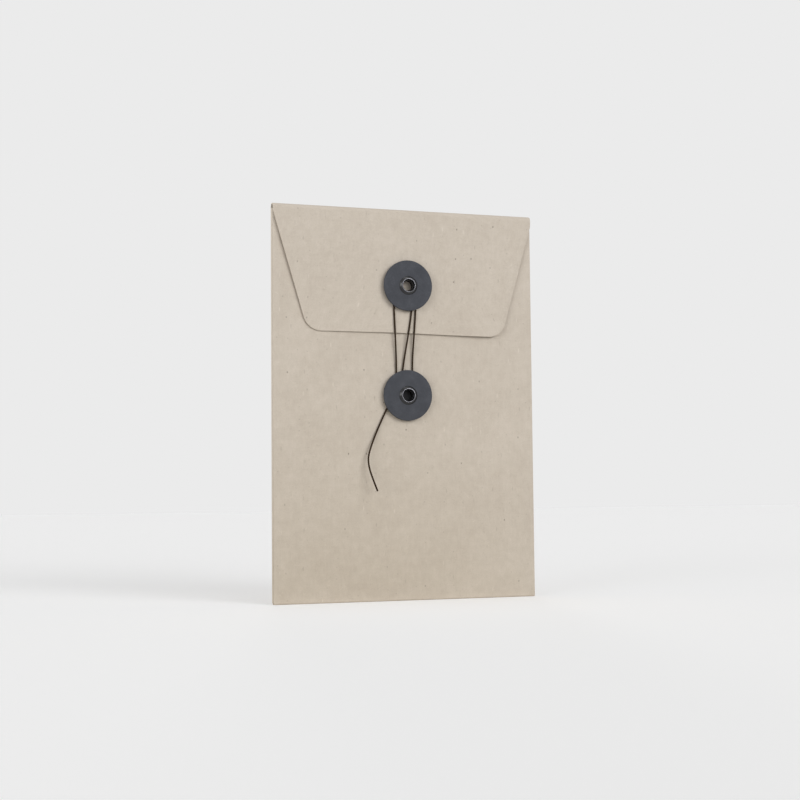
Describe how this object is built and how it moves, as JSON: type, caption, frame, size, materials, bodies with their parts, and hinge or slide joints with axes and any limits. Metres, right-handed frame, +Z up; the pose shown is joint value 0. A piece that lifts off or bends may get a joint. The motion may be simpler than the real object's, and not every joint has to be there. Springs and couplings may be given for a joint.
{
  "type": "string tie envelope",
  "caption": "Upright C6 card envelope with a hinged trapezoid flap, riveted button discs and a wound tie string that holds the flap shut.",
  "frame": {"origin": "on the surface that the envelope stands on, midway across its width and midway through its depth from the back panel's outer face to the upper eyelet's crest", "axes": "+Z up the envelope's height, +X to the right seen from the front, -Y out of the front panel"},
  "size_m": [0.114, 0.0079, 0.162],
  "materials": {
    "card": "matte",
    "disc": "matte",
    "eyelet": "gloss",
    "washer": "matte",
    "string": "matte",
    "glue": "satin"
  },
  "bodies": {
    "pocket": {"back_panel": "card", "front_panel": "card", "bottom_fold": "card", "left_side_fold": "card", "right_side_fold": "card", "left_seam_tab": "card", "right_seam_tab": "card", "left_seam_glue": "glue", "right_seam_glue": "glue", "flap_crease": "card", "lower_eyelet": "eyelet", "lower_backing_washer": "washer"},
    "flap": {"flap": "card", "upper_eyelet": "eyelet", "upper_backing_washer": "washer", "string_knot": "string", "string_winding": "string", "string_tail": "string"},
    "upper_disc": {"upper_disc": "disc"},
    "lower_disc": {"lower_disc": "disc"}
  },
  "joints": [
    {"name": "flap_hinge", "type": "hinge", "parent": "pocket", "child": "flap", "pos_m": [0, 0.00159, 0.16005], "axis": [-1, 0, 0], "range_deg": [0, 175], "deforming": ["flap_crease", "string_knot", "string_winding", "string_tail"]},
    {"name": "upper_disc_spin", "type": "hinge", "parent": "flap", "child": "upper_disc", "pos_m": [0, -0.00206, 0.1298], "axis": [0, -1, 0], "continuous": true},
    {"name": "lower_disc_spin", "type": "hinge", "parent": "pocket", "child": "lower_disc", "pos_m": [0, -0.00066, 0.0843], "axis": [0, -1, 0], "continuous": true}
  ]
}
